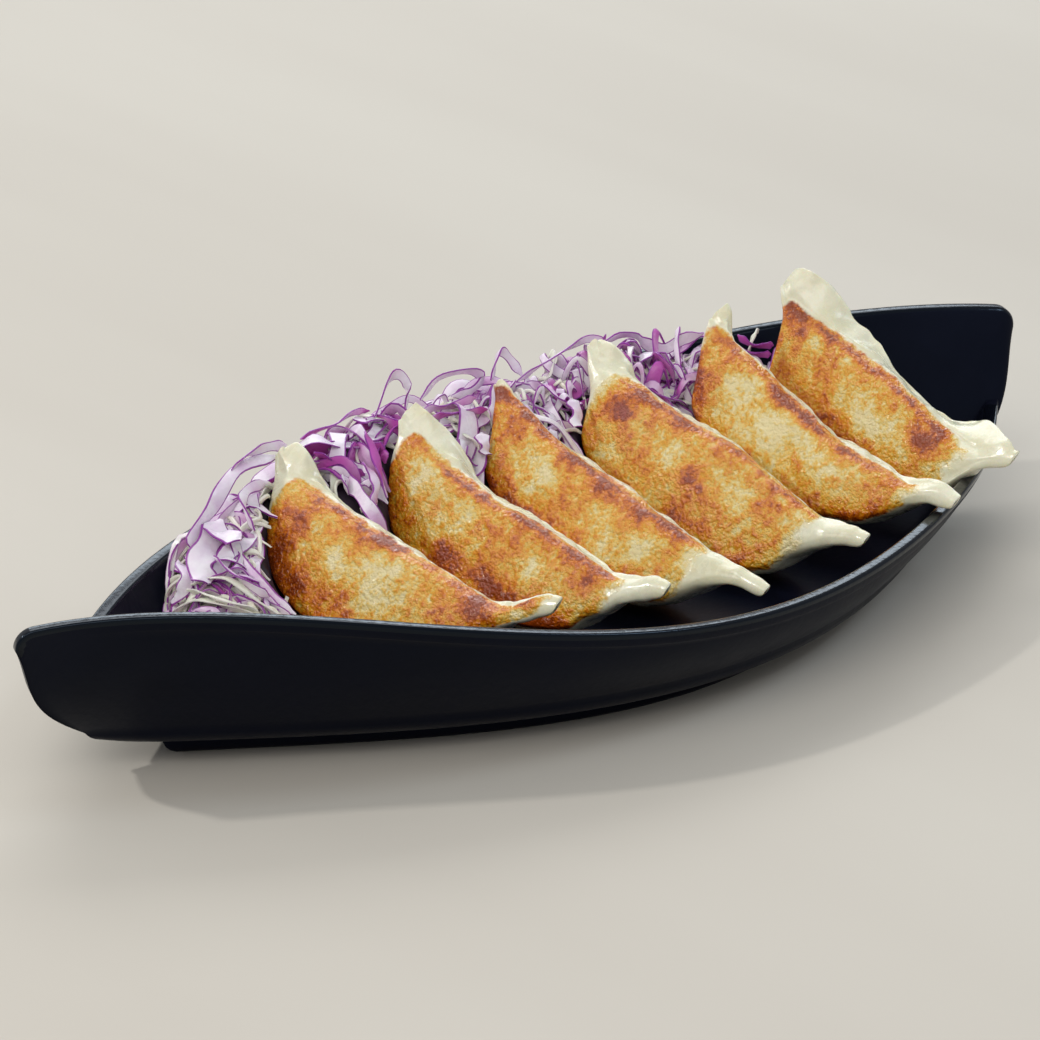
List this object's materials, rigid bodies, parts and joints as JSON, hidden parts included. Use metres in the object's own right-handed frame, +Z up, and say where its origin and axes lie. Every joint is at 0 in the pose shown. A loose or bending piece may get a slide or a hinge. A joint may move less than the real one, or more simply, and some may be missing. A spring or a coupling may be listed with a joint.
{
  "type": "gyoza dumplings in a boat dish",
  "caption": "Pan-fried half-moon dumplings with pleated crests, leaning in a row on a heap of shredded red cabbage in a long boat-shaped dish.",
  "frame": {"origin": "centre of the dish on the surface that it stands on", "axes": "+X along the dish towards the end where the far wall is a tall fin, +Y towards that wall, +Z up"},
  "size_m": [0.2894, 0.1322, 0.0539],
  "materials": {
    "dish": "black melamine with a satin gloss",
    "dumpling": null,
    "cabbage": null
  },
  "bodies": {
    "root": {"dish": "dish", "gyoza_1": "dumpling", "gyoza_2": "dumpling", "gyoza_3": "dumpling", "gyoza_4": "dumpling", "gyoza_5": "dumpling", "gyoza_6": "dumpling", "cabbage_shreds": "cabbage"}
  },
  "joints": []
}
